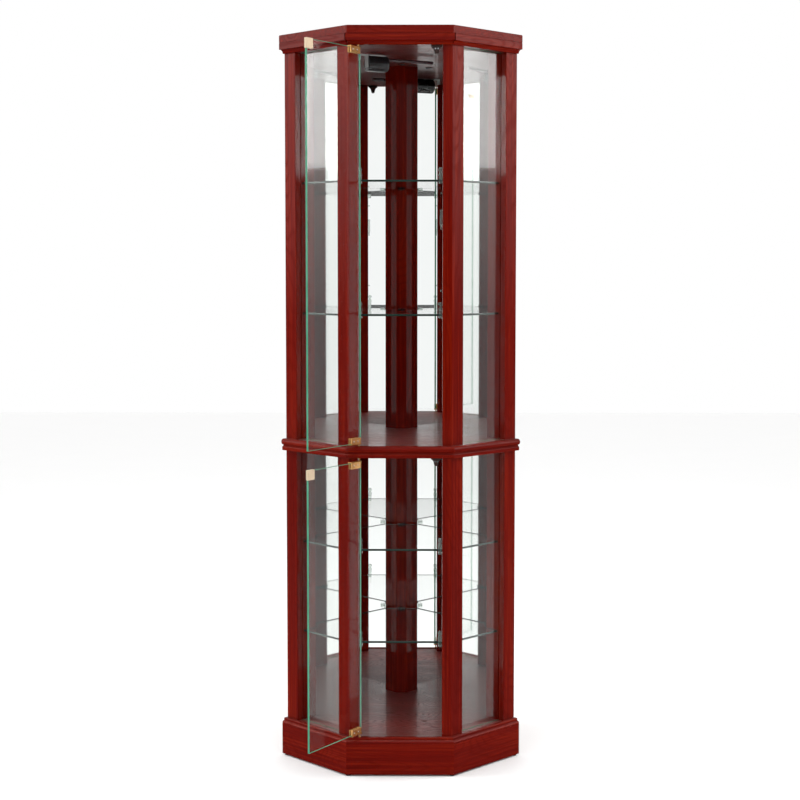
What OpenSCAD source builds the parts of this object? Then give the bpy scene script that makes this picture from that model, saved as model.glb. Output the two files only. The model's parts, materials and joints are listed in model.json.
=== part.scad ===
// Corner curio cabinet: two glazed, mirrored cases stacked on a plinth, each with a glass door.
// Millimetres, +Z up, +X to the right, +Y to the back corner. The origin is on the floor under the
// middle of the footprint. The plan is a square with one corner cut off: two mirrored walls meet at
// a right angle at the back, two glazed sides stand square to them, and the doors close the front.
// Most pieces are drawn in the corner frame, whose x and y run along the two walls from the back
// corner. There the right half is drawn, and the left half is its mirror image.

/* [Case] */
// Length of each mirrored wall, outside
wall_w = 423; // [380:1:480]
// Length of each glazed side, outside
side_w = 238; // [215:1:260]
// Overall height
total_h = 1800; // [1700:10:1900]
// Distance that the plinth, middle band and crown stand out past the posts
overhang = 17; // [17:0.5:20]
// Thickness of the plinth, band and crown boards
board_t = 16; // [14:0.5:16]

/* [Levels] */
// Height of the foot glides
foot_h = 4; // [3:0.5:6]
// Top of the plinth boards
plinth_top = 94; // [88:1:100]
// Underside of the middle band
band_bottom = 775; // [760:1:790]
// Top of the middle band, which is the upper case's floor
band_top = 804; // [800:1:815]
// Depth of the crown, from the ceiling of the upper case to the top
crown_h = 44; // [40:1:48]
// Thickness of the top board
top_t = 18; // [16:1:20]

/* [Posts] */
// Width of a front post's front face
front_face = 22.5; // [20:0.5:24]
// Width of the posts' faces on the glazed sides
side_face = 40; // [36:1:44]
// Depth of the side posts along the wall
side_post_d = 62; // [58:1:66]
// Size of the back post along each wall
back_post = 47; // [44:1:50]
// Width of the small flats that ease the posts' arrises
ease = 0.9; // [0.5:0.1:1.5]

/* [Glass] */
// Thickness of the glazed sides
side_glass_t = 4; // [3:1:4]
// Distance from the posts' outer face to the side glass
glass_set = 16; // [14:1:18]
// Thickness of the shelves
shelf_t = 5; // [4:1:6]
// Heights of the shelves' middles
shelf_levels = [319, 546, 1117, 1438.5];
// Thickness of a mirror, and of the board behind it
mirror_t = 3; // [3:1:4]

/* [Doors] */
// Width of a door
door_w = 206; // [204:1:208]
// Thickness of a door's glass
door_t = 5; // [5:1:6]
// Angle that the doors stand open at rest
door_open = 124; // [0:1:170]
// Distance from the posts' front faces to the pivot line
pivot_out = 7; // [7:0.5:8]

/* [Lamp] */
// Diameter of the lamp socket
socket_d = 39; // [34:1:42]
// Turn of the lamp about the vertical
lamp_turn = 27; // [20:1:40]

/* [Hidden] */
$fn = 48;

root2 = sqrt(2);
slack = 0.1;                                // room left in a groove beside what it holds
lacquer = "#7d1710";
veneer = "#8a2a20";
clear = [0.80, 0.92, 0.88, 0.35];
silver = "#cfd6d8";
brass = "#c9a35a";
dark_plastic = "#3a2218";

// Plan
depth = (wall_w + side_w) / root2;
y_back = depth / 2;
y_front = y_back - depth;
front_half = (wall_w - side_w) / root2;     // half of the front facet's width
post_line = wall_w - overhang;              // the posts' outer plane, in the corner frame
post_arris = wall_w + side_w - overhang * root2 - post_line;
side_inner = post_line - side_post_d;       // the inner end of a side post
front_depth = 25;                           // front post, behind its front face
glass_depth = 28;                           // front post, behind its side face
chamfer = 18;                               // the back post's cut-off corner
panel_back = 2;                             // from the wall plane to the board behind the mirror
mirror_face = panel_back + 2 * mirror_t;
groove = 8;

// Levels
floor_top = plinth_top - 2;
panel_t = 18;
deck_t = 15;
ceiling_z = total_h - crown_h;
top_z = total_h - top_t;
crown_out = 5;                              // the crown's front stands out this much further

// Doors
pivot_x = -98.5;
pivot_y = y_front + overhang - pivot_out;
hinge_edge = 4.5;                           // from the pivot line to the glass's hinge edge
bracket_w = 12;
bracket_l = 37;
bracket_h = 17;
web = 2.5;
pin_r = 1.5;
bush_r = 2.5;
bush_l = 8;
bush_clear = 0.05;                          // radial clearance of a pin in its bushing
flange_r = 3;
flange_t = 1;
screw_r = 2;
screw_at = [13, 29];
door_zs = [[105, 766], [811, 1748]];        // glass of the lower door, and of the upper door
door_seats = [[plinth_top, band_bottom], [band_top, ceiling_z]];
strike = [23, 8, 22];
strike_t = 1.5;

// Lamp
lamp_at = [-84, -37];
socket_z = 1735;
socket_l = 54;
tube_z = 1746;
tube_d = 9;
tube_l = 186;
lamp_plate_t = 1.6;
lamp_plate_w = 18;

// The frame whose x and y run along the walls from the back corner.
module at_corner()
    translate([0, y_back, 0]) rotate([0, 0, -135]) children();

// A right-hand piece, or its mirror image on the left.
module hand(left)
    mirror([left ? 1 : 0, 0, 0]) children();

// The footprint in the corner frame, in by `i` at the sides and by `f` at the front.
function plan(i, f) = let (w = wall_w - i, s = wall_w + side_w - f * root2 - w)
    [[0, 0], [w, 0], [w, s], [s, w], [0, w]];

// A point moved from `a` towards `b` by `d`.
function toward(a, b, d) = a + (b - a) * d / norm(b - a);

// An outline whose corners are cut back by small flats.
function eased(p, d) = [for (i = [0:len(p) - 1], k = [-1, 1])
    toward(p[i], p[(i + k + len(p)) % len(p)], d)];

// Points of an arc about `c`.
function arc(c, r, a0, a1, n) = [for (i = [0:n]) let (a = a0 + (a1 - a0) * i / n)
    c + r * [cos(a), sin(a)]];

module sheet_between(z0, z1, outline)
    translate([0, 0, z0]) linear_extrude(z1 - z0) polygon(outline);

// A horizontal board on the right half's front or side facet, with its profile given as
// [distance in from the facet, height]. Its end at the front arris is mitred.
module facet_board(profile, length, deep)
    intersection() {
        rotate([90, 0, 90]) linear_extrude(length) polygon(profile);
        translate([0, 0, -1]) linear_extrude(total_h + 2)
            polygon([[0, 0], [length, 0], [length, deep], [deep * tan(22.5), deep]]);
    }

module side_board(profile, deep)
    translate([front_half, y_front, 0]) rotate([0, 0, 45]) facet_board(profile, side_w, deep);

// The front board is drawn as a full-width strip, mitred at both ends. `out` moves it forwards.
module front_board(profile, deep, out)
    let (half = front_half - out * tan(22.5))
    translate([0, y_front - out, 0])
        intersection() {
            translate([-half, 0, 0]) rotate([90, 0, 90]) linear_extrude(2 * half) polygon(profile);
            translate([0, 0, -1]) linear_extrude(total_h + 2)
                polygon([[-half, 0], [half, 0],
                         [half - deep * tan(22.5), deep], [-half + deep * tan(22.5), deep]]);
        }

/* Plinth */

// Flat face, a fine groove, a quarter round and a small bead, from the bottom up.
function plinth_profile() = concat(
    [[board_t, foot_h], [0, foot_h], [0, plinth_top - 14], [1, plinth_top - 13.3],
     [0, plinth_top - 12.6]],
    arc([6, plinth_top - 12], 6, 180, 90, 6),
    arc([8, plinth_top - 2], 2, 180, 90, 4),
    [[board_t, plinth_top]]);

module base_front_board()
    color(lacquer) difference() {
        front_board(plinth_profile(), board_t, 0);
        bushing_hole(plinth_top, -1);
    }

module base_side_board(left)
    color(lacquer) hand(left) side_board(plinth_profile(), board_t);

// A rail along one wall. The left rail butts against the right one at the back corner.
module wall_rail(z0, z1, left)
    let (from = left ? board_t : 0)
    color(veneer) hand(left) at_corner()
        translate([0, from, z0]) cube([board_t, wall_w - board_t - from, z1 - z0]);

module base_rail(left)
    wall_rail(foot_h, floor_top - panel_t, left);

module base_floor_panel()
    color(veneer) at_corner()
        sheet_between(floor_top - panel_t, floor_top, plan(board_t, board_t));

foot_r = 6;
foot_in = 9;                                // from the wall or facet to a foot's middle
foot_places = let (far = wall_w - foot_in, near = side_w - 2)
    [[foot_in, foot_in], [foot_in, far], [far, foot_in], [near, far], [far, near]];

module foot_glides()
    color("#222222") at_corner()
        for (p = foot_places)
            translate(p) cylinder(h = foot_h, r = foot_r);

/* Middle band */

// A half round over a notch and a slim bead.
function band_profile() = let (r = 7.6, in = 1)
    concat(
        [[board_t, band_bottom], [5, band_bottom]],
        arc([6, band_bottom + 2], 2, 225, 180, 2),
        arc([6, band_bottom + 8], 2, 180, 90, 4),
        [[7.5, band_bottom + 10.5], [7.5, band_top - 2 * r]],
        arc([in + r, band_top - r], r, 270, 90, 12),
        [[board_t, band_top]]);

module mid_moulding_front()
    color(lacquer) difference() {
        front_board(band_profile(), board_t, 0);
        bushing_hole(band_top, -1);
        bushing_hole(band_bottom, 1);
    }

module mid_moulding_side(left)
    color(lacquer) hand(left) side_board(band_profile(), board_t);

module lower_ceiling_panel()
    color(veneer) at_corner()
        sheet_between(band_bottom, band_top - deck_t, plan(board_t, board_t));

module mid_deck_panel()
    color(veneer) at_corner() sheet_between(band_top - deck_t, band_top, plan(board_t, board_t));

/* Crown */

// A cove below a flat band. `out` is how far forwards the board stands.
function crown_profile(out) = let (r = 9, foot = 12)
    concat(
        arc([foot - r, ceiling_z], r, 0, 90, 6),
        [[0, ceiling_z + r], [0, top_z - 2], [1, top_z - 1.4], [1, top_z], [board_t + out, top_z],
         [board_t + out, ceiling_z]]);

module crown_front()
    color(lacquer) difference() {
        front_board(crown_profile(crown_out), board_t + crown_out, crown_out);
        bushing_hole(ceiling_z, 1);
    }

module crown_side(left)
    color(lacquer) hand(left) side_board(crown_profile(0), board_t);

module ceiling_panel()
    color(veneer) difference() {
        at_corner() sheet_between(ceiling_z, ceiling_z + 12, plan(board_t, board_t));
        translate([grommet_at[0], grommet_at[1], ceiling_z - 1]) cylinder(h = 14, r = grommet_r);
    }

module crown_rail(left)
    wall_rail(ceiling_z + 12, top_z, left);

// The top board's edge has small eased arrises.
module top_board()
    color(lacquer) at_corner() {
        sheet_between(top_z, total_h - 1.5, plan(0, -crown_out));
        sheet_between(total_h - 1.5, total_h, plan(1.5, 1.5 - crown_out));
    }

/* Posts */

function front_post_outline() =
    let (a = [post_arris, post_line],
         d = [1, -1] / root2,               // along the front face
         n = [-1, -1] / root2,              // in from the front face
         p1 = a + front_face * d,
         p4 = a - [side_face, 0])
    eased([a, p4, p4 - [0, glass_depth], p1 + front_depth * n, p1], ease);

module glass_slot(z0, z1, grow)
    let (x0 = side_face - groove, x1 = post_arris - side_face + groove)
    translate([x0 - grow, post_line - glass_set - side_glass_t - grow, z0])
        cube([x1 - x0 + 2 * grow, side_glass_t + 2 * grow, z1 - z0]);

// The space that a mirror and the board behind it take up, along the right wall.
module wall_slot(z0, z1, x0, x1, grow)
    translate([x0 - grow, back_post - groove - grow, z0])
        cube([x1 - x0 + 2 * grow, side_inner - back_post + 2 * (groove + grow), z1 - z0]);

module front_post(z0, z1, left)
    color(lacquer) hand(left) at_corner() difference() {
        sheet_between(z0, z1, front_post_outline());
        glass_slot(z0 - 1, z1 + 1, slack);
    }

module side_post(z0, z1, left)
    color(lacquer) hand(left) at_corner() difference() {
        sheet_between(z0, z1, eased([[0, side_inner], [side_face, side_inner],
                                     [side_face, post_line], [0, post_line]], ease));
        glass_slot(z0 - 1, z1 + 1, slack);
        wall_slot(z0 - 1, z1 + 1, panel_back, mirror_face, slack);
    }

module back_post_piece(z0, z1)
    color(lacquer) at_corner() difference() {
        sheet_between(z0, z1, eased([[0, 0], [back_post, 0], [back_post, back_post - chamfer],
                                     [back_post - chamfer, back_post], [0, back_post]], ease));
        wall_slot(z0 - 1, z1 + 1, panel_back, mirror_face, slack);
        mirror([1, -1, 0]) wall_slot(z0 - 1, z1 + 1, panel_back, mirror_face, slack);
    }

/* Glass, mirrors and backs */

module side_glass(z0, z1, left)
    color(clear) hand(left) at_corner() glass_slot(z0, z1, 0);

module mirror_piece(z0, z1, left)
    color(silver) hand(left) at_corner() wall_slot(z0, z1, mirror_face - mirror_t, mirror_face, 0);

module back_panel(z0, z1, left)
    color("#6b4a33") hand(left) at_corner()
        wall_slot(z0, z1, panel_back, mirror_face - mirror_t, 0);

/* Shelves */

shelf_gap = 1.5;
shelf_corner = 2 * back_post - chamfer + 3; // the shelf's cut-off back corner is x + y = this
shelf_front = wall_w + side_w - (overhang + front_depth + 3) * root2;

// The right half of a shelf's outline, from the back corner to the front edge. It steps round the
// side post, and round the front post, to reach the side glass between them.
function shelf_half() =
    let (x0 = mirror_face + shelf_gap, y0 = side_inner - 2,
         y1 = post_line - glass_set - side_glass_t - 2, x2 = post_arris - side_face - 2,
         y3 = y1 - 13.5)
    [[x0, shelf_corner - x0], [x0, y0], [side_face + 2, y0], [side_face + 2, y1], [x2, y1],
     [x2, y3 + 4.5], [shelf_front - y3, y3]];

function reversed(p) = [for (i = [len(p) - 1:-1:0]) [p[i][1], p[i][0]]];

module shelf(i)
    color(clear) at_corner()
        sheet_between(shelf_levels[i] - shelf_t / 2, shelf_levels[i] + shelf_t / 2,
                      concat(shelf_half(), reversed(shelf_half())));

// A clip with a slot that holds the edge of a shelf. It stands on x = 0 and reaches along +x.
module edge_clip(width, reach, gap)
    difference() {
        translate([0, -width / 2, -shelf_t / 2 - 4]) cube([reach, width, shelf_t + 7]);
        translate([gap, -width / 2 - 1, -shelf_t / 2]) cube([reach, width + 2, shelf_t]);
    }

// An angle bracket on a front post's inner edge, with a two-lobed grip that rises past the shelf.
module front_clip()
    translate([0, -8, 0]) {
        translate([-9, 0, -shelf_t / 2 - 5]) cube([9, 26, 5]);
        translate([-9, 0, -shelf_t / 2]) cube([9, 8.5, 12]);
        for (z = [14, 26]) translate([-5, 0, z])
            rotate([-90, 0, 0]) cylinder(h = 8, r = 5);
        translate([-8, 1, 6]) cube([6, 6, 20]);
    }

front_clip_at = [front_half - overhang * tan(22.5) - front_face, y_front + overhang + 18];

module shelf_clips(levels)
    for (z = levels) translate([0, 0, z]) {
        at_corner() translate([back_post - chamfer / 2, back_post - chamfer / 2, 0])
            rotate([0, 0, 45]) edge_clip(18, 14, 3 / root2);
        for (left = [false, true]) hand(left) {
            at_corner() translate([(mirror_face + side_face) / 2, side_inner, 0])
                rotate([0, 0, -90]) edge_clip(14, 12, 2);
            translate(front_clip_at) front_clip();
        }
    }

spare_z = 1369;                             // top of a spare holder
spare_h = 28;                               // its straight part
spare_taper = 10;                           // its tapered part
spare_ring_r = 5.5;
spare_peg_zs = [1176, 1408];

module lower_shelf_clips()
    color("#c8ccc8") shelf_clips([shelf_levels[0], shelf_levels[1]]);

// A slim holder with a ring below it, and two short pegs, for a shelf's other positions.
module spare_fittings()
    translate(front_clip_at) {
        translate([-6, 0, spare_z]) rotate([90, 0, 90]) linear_extrude(6)
            polygon([[-3, -spare_h], [-1, -spare_h - spare_taper], [4, -spare_h - spare_taper],
                     [6, -spare_h], [6, 0], [-3, 0]]);
        translate([-4.5, 1.5, spare_z - spare_h - spare_taper - spare_ring_r + 1])
            rotate([0, 90, 0]) difference() {
                cylinder(h = 3, r = spare_ring_r);
                translate([0, 0, -1]) cylinder(h = 5, r = spare_ring_r - 2);
            }
        for (z = spare_peg_zs) translate([-5, 0, z]) rotate([0, 90, 0]) cylinder(h = 5, r = 2);
    }

module upper_shelf_clips()
    color("#c8ccc8") {
        shelf_clips([shelf_levels[2], shelf_levels[3]]);
        for (left = [false, true]) hand(left) spare_fittings();
    }

/* Doors */

// The frame of a door: z along the pivot line, x along the door, y towards the case when closed.
module at_pivot()
    translate([pivot_x, pivot_y, 0]) rotate([0, 0, -door_open]) children();

module door_glass(i)
    color(clear) at_pivot()
        translate([-hinge_edge, -door_t / 2, door_zs[i][0]])
            cube([door_w, door_t, door_zs[i][1] - door_zs[i][0]]);

// A channel over one corner of the glass, round at the pivot end, with the glass below it.
module pivot_hinge()
    difference() {
        translate([0, 0, web - bracket_h]) {
            cylinder(h = bracket_h, r = bracket_w / 2);
            translate([0, -bracket_w / 2, 0]) cube([bracket_l, bracket_w, bracket_h]);
        }
        translate([-bracket_w, -door_t / 2, -bracket_h])
            cube([bracket_l + 2 * bracket_w, door_t, bracket_h]);
        for (x = screw_at)
            translate([x, 0, web - bracket_h / 2]) rotate([-90, 0, 0])
                cylinder(h = bracket_w, r = screw_r);
    }

// The pin that stands `pin_l` above the channel.
module pivot_pin(pin_l)
    translate([0, 0, web]) cylinder(h = pin_l, r = pin_r);

// Both hinges of a door. A pin ends 1 mm short of the bottom of its bushing.
module door_hinges(i)
    color(brass) at_pivot()
        for (top = [0, 1]) {
            z = door_zs[i][top];
            pin_l = abs(door_seats[i][top] - z) - web + bush_l - 1;
            translate([0, 0, z]) mirror([0, 0, 1 - top]) union() {
                pivot_hinge();
                pivot_pin(pin_l);
            }
        }

module hinge_screws(i)
    color(silver) at_pivot()
        for (top = [0, 1], x = screw_at)
            translate([0, 0, door_zs[i][top]]) mirror([0, 0, 1 - top])
                translate([x, door_t / 2, web - bracket_h / 2]) rotate([-90, 0, 0]) difference() {
                    cylinder(h = (bracket_w - door_t) / 2 + 1, r = screw_r);
                    translate([-screw_r, -0.4, (bracket_w - door_t) / 2 + 0.4])
                        cube([2 * screw_r, 0.8, 1]);
                }

// A folded plate over the top free corner, which the catch's magnets hold.
module strike_plate(i)
    color(brass) at_pivot()
        translate([door_w - hinge_edge - strike[0] + 1, 0, door_zs[i][1] - strike[2]])
            difference() {
                translate([0, -door_t / 2 - strike_t, 0])
                    cube([strike[0], door_t + 2 * strike_t, strike[2] + strike_t]);
                translate([-1, -door_t / 2, -1]) cube([strike[0], door_t, strike[2] + 1]);
            }

// The hole that a bushing fits, going up (1) or down (-1) from the face at height `z`.
module bushing_hole(z, way)
    translate([pivot_x, pivot_y, z]) mirror([0, 0, way < 0 ? 1 : 0]) {
        translate([0, 0, -1]) cylinder(h = bush_l + 1, r = bush_r);
    }

module bushing()
    difference() {
        union() {
            cylinder(h = bush_l, r = bush_r);
            translate([0, 0, -flange_t]) cylinder(h = flange_t, r = flange_r);
        }
        translate([0, 0, -flange_t - 1]) cylinder(h = bush_l + flange_t, r = pin_r + bush_clear);
    }

module hinge_bushings()
    color(brass)
        for (i = [0, 1], top = [0, 1])
            translate([pivot_x, pivot_y, door_seats[i][top]]) mirror([0, 0, 1 - top]) bushing();

/* Catches */

catch_x = 86.5;
catch_w = 26;
catch_drop = 20;
catch_l = 24;
catch_face = pivot_y + door_t / 2 + strike_t + 1;  // the plane of the housings' front faces
catch_seats = [band_bottom, ceiling_z];

module catch_housing()
    rotate([90, 0, 0]) mirror([0, 0, 1]) linear_extrude(catch_l)
        polygon([[-catch_w / 2, 0], [-catch_w / 2, -3], [-9, -6], [-4, -catch_drop],
                 [4, -catch_drop], [9, -6], [catch_w / 2, -3], [catch_w / 2, 0]]);

module magnetic_catches()
    color(dark_plastic)
        for (z = catch_seats)
            translate([catch_x, catch_face, z]) catch_housing();

// Two round pole pieces on the front of each housing.
module catch_magnets()
    color(silver)
        for (z = catch_seats, x = [-3.2, 3.2])
            translate([catch_x + x, catch_face, z - 9]) rotate([90, 0, 0])
                cylinder(h = 0.6, r = 2);

/* Lamp */

grommet_at = [0, 150];
grommet_r = 7;

// The lamp's own frame: x along the lamp from the socket's bracket end.
module at_lamp(z)
    translate([lamp_at[0], lamp_at[1], z]) rotate([0, 0, lamp_turn]) children();

// A plate under the ceiling, bent down at both ends; the socket stands on its near end.
module lamp_bracket()
    color("#b9bcbc") at_lamp(0) {
        translate([-lamp_plate_t, -lamp_plate_w / 2, socket_z - 10])
            cube([lamp_plate_t, lamp_plate_w, ceiling_z - socket_z + 10]);
        translate([-22, -lamp_plate_w / 2, ceiling_z - lamp_plate_t])
            cube([22 - lamp_plate_t, lamp_plate_w, lamp_plate_t]);
        translate([-22, -lamp_plate_w / 2, ceiling_z - 14])
            cube([lamp_plate_t, lamp_plate_w, 14 - lamp_plate_t]);
    }

module lamp_socket()
    color("#151515") at_lamp(socket_z) rotate([0, 90, 0]) union() {
        cylinder(h = socket_l - 2, r = socket_d / 2);
        translate([0, 0, socket_l - 2]) cylinder(h = 2, r = socket_d / 2 - 2);
    }

module lamp_tube()
    color("#2a1a1a") at_lamp(tube_z) rotate([0, 90, 0]) union() {
        translate([0, 0, socket_l]) cylinder(h = tube_l - socket_l - 6, r = tube_d / 2);
        translate([0, 0, tube_l - 6]) cylinder(h = 6, r = tube_d / 2 - 0.8);
    }

// The cord's way out through the ceiling of the upper case.
module cord_grommet()
    color("#151515") translate([grommet_at[0], grommet_at[1], ceiling_z]) difference() {
        union() {
            translate([0, 0, -2]) cylinder(h = 2, r = grommet_r + 3);
            cylinder(h = 12, r = grommet_r);
        }
        translate([0, 0, -3]) cylinder(h = 16, r = grommet_r - 2.5);
    }

base_front_board();
base_side_board(true);  // base_left_board
base_side_board(false);  // base_right_board
base_rail(true);  // base_left_rail
base_rail(false);  // base_right_rail
base_floor_panel();
foot_glides();
lower_ceiling_panel();
mid_deck_panel();
mid_moulding_front();
mid_moulding_side(true);  // mid_moulding_left
mid_moulding_side(false);  // mid_moulding_right
ceiling_panel();
crown_front();
crown_side(true);  // crown_left
crown_side(false);  // crown_right
crown_rail(true);  // crown_left_rail
crown_rail(false);  // crown_right_rail
top_board();
front_post(floor_top, band_bottom, true);  // lower_front_left_post
front_post(floor_top, band_bottom, false);  // lower_front_right_post
side_post(floor_top, band_bottom, true);  // lower_side_left_post
side_post(floor_top, band_bottom, false);  // lower_side_right_post
back_post_piece(floor_top, band_bottom);  // lower_back_post
front_post(band_top, ceiling_z, true);  // upper_front_left_post
front_post(band_top, ceiling_z, false);  // upper_front_right_post
side_post(band_top, ceiling_z, true);  // upper_side_left_post
side_post(band_top, ceiling_z, false);  // upper_side_right_post
back_post_piece(band_top, ceiling_z);  // upper_back_post
side_glass(floor_top, band_bottom, true);  // lower_left_side_glass
side_glass(floor_top, band_bottom, false);  // lower_right_side_glass
side_glass(band_top, ceiling_z, true);  // upper_left_side_glass
side_glass(band_top, ceiling_z, false);  // upper_right_side_glass
mirror_piece(floor_top, band_bottom, true);  // lower_left_mirror
mirror_piece(floor_top, band_bottom, false);  // lower_right_mirror
mirror_piece(band_top, ceiling_z, true);  // upper_left_mirror
mirror_piece(band_top, ceiling_z, false);  // upper_right_mirror
back_panel(floor_top, band_bottom, true);  // lower_left_back_panel
back_panel(floor_top, band_bottom, false);  // lower_right_back_panel
back_panel(band_top, ceiling_z, true);  // upper_left_back_panel
back_panel(band_top, ceiling_z, false);  // upper_right_back_panel
shelf(0);  // shelf_1
shelf(1);  // shelf_2
shelf(2);  // shelf_3
shelf(3);  // shelf_4
lower_shelf_clips();
upper_shelf_clips();
door_glass(0);  // lower_door_glass
door_glass(1);  // upper_door_glass
door_hinges(0);  // lower_door_hinges
door_hinges(1);  // upper_door_hinges
hinge_screws(0);  // lower_hinge_screws
hinge_screws(1);  // upper_hinge_screws
strike_plate(0);  // lower_strike_plate
strike_plate(1);  // upper_strike_plate
hinge_bushings();
magnetic_catches();
catch_magnets();
lamp_bracket();
lamp_socket();
lamp_tube();
cord_grommet();
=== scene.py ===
"""Looks of a corner curio cabinet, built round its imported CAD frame. Metres, +Z up, +Y to the back."""

import json
import logging
import math
from collections.abc import Callable
from dataclasses import dataclass, field
from enum import Enum

import bpy
import numpy as np
from bpy.types import Material, Node, NodeSocket as Socket, Object
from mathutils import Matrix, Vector


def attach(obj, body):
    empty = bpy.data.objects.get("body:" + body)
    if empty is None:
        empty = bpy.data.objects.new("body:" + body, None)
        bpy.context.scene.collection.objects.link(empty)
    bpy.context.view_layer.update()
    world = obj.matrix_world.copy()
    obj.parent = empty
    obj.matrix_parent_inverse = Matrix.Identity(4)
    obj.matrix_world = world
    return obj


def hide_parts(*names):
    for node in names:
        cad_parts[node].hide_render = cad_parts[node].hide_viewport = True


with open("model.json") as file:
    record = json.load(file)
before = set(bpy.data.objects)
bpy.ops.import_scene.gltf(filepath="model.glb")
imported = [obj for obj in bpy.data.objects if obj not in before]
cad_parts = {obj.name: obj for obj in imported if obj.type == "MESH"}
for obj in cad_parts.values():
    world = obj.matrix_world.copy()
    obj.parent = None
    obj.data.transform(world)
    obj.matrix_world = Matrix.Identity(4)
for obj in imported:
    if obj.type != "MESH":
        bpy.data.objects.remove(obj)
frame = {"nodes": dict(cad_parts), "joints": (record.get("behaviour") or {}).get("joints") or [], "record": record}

LOG = logging.getLogger("curio_cabinet")
MM = 0.001
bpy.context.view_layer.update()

UPWARDS = np.array([0.0, 0.0, 1.0])
SHARP_ANGLE = math.radians(35)

Colour = tuple[float, float, float]
Point = tuple[float, float, float]
Rgba = tuple[float, float, float, float]
Array = np.ndarray
Box = tuple[Array, Array]
Placer = Callable[[Array], Array]


# ---- Surfaces ----


def turn_matrix(angle: float) -> Array:
    """The 3x3 matrix that turns points about Z by `angle` degrees.

    Args:
        angle: degrees, positive from +X towards +Y.

    Returns:
        The matrix, to be used as points @ matrix.T.
    """
    a = math.radians(angle)
    return np.array([[math.cos(a), -math.sin(a), 0], [math.sin(a), math.cos(a), 0], [0, 0, 1]])


def node_points(node: str) -> Array:
    """All vertices of a CAD node at rest.

    Args:
        node: the CAD node's name.

    Returns:
        An (n, 3) array in metres.
    """
    mesh = frame["nodes"][node].data
    flat = np.empty(len(mesh.vertices) * 3)
    mesh.vertices.foreach_get("co", flat)
    return flat.reshape(-1, 3)


@dataclass(frozen=True)
class LocalFrame:
    """A frame that stands upright at `origin` and is turned by `angle` degrees about Z."""

    origin: Point = (0.0, 0.0, 0.0)
    angle: float = 0.0

    def to_world(self, points: Array) -> Array:
        """Turns points of this frame by the angle and moves them to the origin.

        Args:
            points: (n, 3) points of this frame.

        Returns:
            The same points in the row frame.
        """
        return points @ turn_matrix(self.angle).T + np.array(self.origin)

    def to_local(self, points: Array) -> Array:
        """Moves points of the row frame from the origin and turns them back by the angle.

        Args:
            points: (n, 3) points of the row frame.

        Returns:
            The same points in this frame.
        """
        return (points - np.array(self.origin)) @ turn_matrix(-self.angle).T

    def standing(self, back: float) -> Placer:
        """Stands a slab up: outline x runs along the frame's x, outline y up, height to -y.

        Args:
            back: the y of the slab's lower face.

        Returns:
            A function from the slab's points to the row frame.
        """
        return lambda p: self.to_world(np.stack([p[:, 0], back - p[:, 2], p[:, 1]], axis=1))

    def lying(self, bottom: float) -> Placer:
        """Lays a slab flat.

        Args:
            bottom: the z of the slab's lower face.

        Returns:
            A function from the slab's points to the row frame.
        """
        return lambda p: self.to_world(p + np.array([0, 0, bottom]))

    def box(self, node: str) -> Box:
        """A CAD node's box, measured in this frame.

        Args:
            node: the CAD node's name.

        Returns:
            Its lowest and highest corners.
        """
        local = self.to_local(node_points(node))
        return local.min(0), local.max(0)

    def islands(self, node: str, parts: int) -> list[Box]:
        """Boxes of a CAD node's separate solids, which lie apart in height.

        Args:
            node: the CAD node's name.
            parts: how many solids it holds.

        Returns:
            One (low, high) pair for each solid, from the lowest up.
        """
        local = self.to_local(node_points(node))
        ordered = local[np.argsort(local[:, 2], kind="stable")]
        gaps = np.argsort(np.diff(ordered[:, 2]))[::-1][: parts - 1]
        pieces = np.split(ordered, np.sort(gaps) + 1)
        return [(p.min(0), p.max(0)) for p in pieces]


def make_object(name: str, points: Array, faces: list, slots: Array | None = None) -> Object:
    """Makes a flat-shaded mesh object whose place is in its mesh.

    Args:
        name: the piece's name.
        points: (n, 3) vertices in the row frame.
        faces: tuples of vertex indices, or an (m, 4) array.
        slots: the material index of each face.

    Returns:
        The linked object.
    """
    mesh = bpy.data.meshes.new(name)
    mesh.from_pydata(points.tolist(), [], [tuple(f) for f in faces])
    if slots is not None:
        mesh.polygons.foreach_set("material_index", np.asarray(slots, dtype=np.int32))
    mesh.polygons.foreach_set("use_smooth", np.zeros(len(mesh.polygons), bool))
    mesh.update()
    thing = bpy.data.objects.new(name, mesh)
    bpy.context.scene.collection.objects.link(thing)
    return thing


def rectangle(low: Array, high: Array, across: int, up: int) -> Array:
    """A box's outline seen along one axis.

    Args:
        low: the box's lowest corner.
        high: its highest corner.
        across: the axis that becomes the outline's x.
        up: the axis that becomes the outline's y.

    Returns:
        Its (4, 2) corners, anticlockwise from the lowest.
    """
    return np.array([[low[across], low[up]], [high[across], low[up]],
                     [high[across], high[up]], [low[across], high[up]]])


def ring_faces(rings: int, count: int) -> Array:
    """Quads between successive closed rings of a grid.

    Args:
        rings: how many rings the grid has.
        count: how many points each ring has.

    Returns:
        An (m, 4) array of indices; ring r's point i has index r * count + i.
    """
    r, i = np.meshgrid(np.arange(rings - 1), np.arange(count), indexing="ij")
    nr, ni = r + 1, (i + 1) % count
    return np.stack([r * count + i, r * count + ni, nr * count + ni, nr * count + i],
                    axis=-1).reshape(-1, 4)


def inset_rings(outline: Array, insets: Array) -> Array:
    """An outline moved inwards by several distances, with mitred corners.

    A corner moves by the sum of its two sides' inward normals over one plus their dot product,
    times the distance, which keeps every side parallel to itself.

    Args:
        outline: (n, 2) corners, anticlockwise.
        insets: (m,) distances.

    Returns:
        An (m, n, 2) array.
    """
    side = np.roll(outline, -1, axis=0) - outline
    side /= np.linalg.norm(side, axis=1, keepdims=True)
    inward = np.stack([-side[:, 1], side[:, 0]], axis=1)
    before = np.roll(inward, 1, axis=0)
    mitre = (before + inward) / (1 + (before * inward).sum(1, keepdims=True))
    return outline[None] + insets[:, None, None] * mitre[None]


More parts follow.
